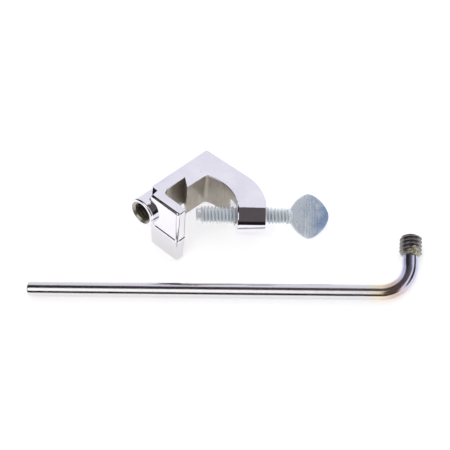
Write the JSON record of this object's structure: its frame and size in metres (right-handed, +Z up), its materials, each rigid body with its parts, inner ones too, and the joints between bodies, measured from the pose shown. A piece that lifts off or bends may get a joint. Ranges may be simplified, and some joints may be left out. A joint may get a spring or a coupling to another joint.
{
  "type": "rod clamp with bent mounting rod",
  "caption": "Small chromed C clamp with a spade-head thumbscrew, and a bent steel rod whose threaded end screws into the clamp's boss.",
  "frame": {"origin": "centre of the set's footprint, on the table the two pieces lie on", "axes": "+X along the rod's long arm towards its bend, +Y along its short arm, +Z up; the thumbscrew's head is on the +X side of the clamp"},
  "size_m": [0.144, 0.0556, 0.0245],
  "materials": {
    "chromed_casting": "bright chrome plate over a die casting, unpolished and satin inside the throat",
    "zinc_plate": "blue-passivated zinc plate, slightly grainy",
    "polished_rod": "drawn and polished, heat-tinted at the bend",
    "dark_steel": "dark gunmetal, cut thread",
    "braze": "dull oxidised braze bead"
  },
  "bodies": {
    "clamp": {"clamp_body": "chromed_casting"},
    "screw_carrier": {"screw_point": "zinc_plate"},
    "thumbscrew": {"thumbscrew": "zinc_plate"},
    "rod": {"l_rod": "polished_rod", "rod_stud": "dark_steel", "braze_fillet": "braze"}
  },
  "joints": [
    {"name": "screw_travel", "type": "slide", "parent": "clamp", "child": "screw_carrier", "axis": [0.9616, 0.1136, -0.2499], "range_m": [-0.006, 0.014]},
    {"name": "screw_turn", "type": "hinge", "parent": "screw_carrier", "child": "thumbscrew", "pos_m": [-0.00439, 0.00022, 0.01327], "axis": [0.9616, 0.1136, -0.2499], "range_deg": [-1710, 3980]},
    {"name": "rod_lift", "type": "slide", "parent": "clamp", "child": "rod", "axis": [0, 0, 1], "range_m": [0, 0.1]}
  ],
  "couplings": [
    {"joint": "screw_turn", "follows": "screw_travel", "rad_per_m": 4947.4}
  ]
}
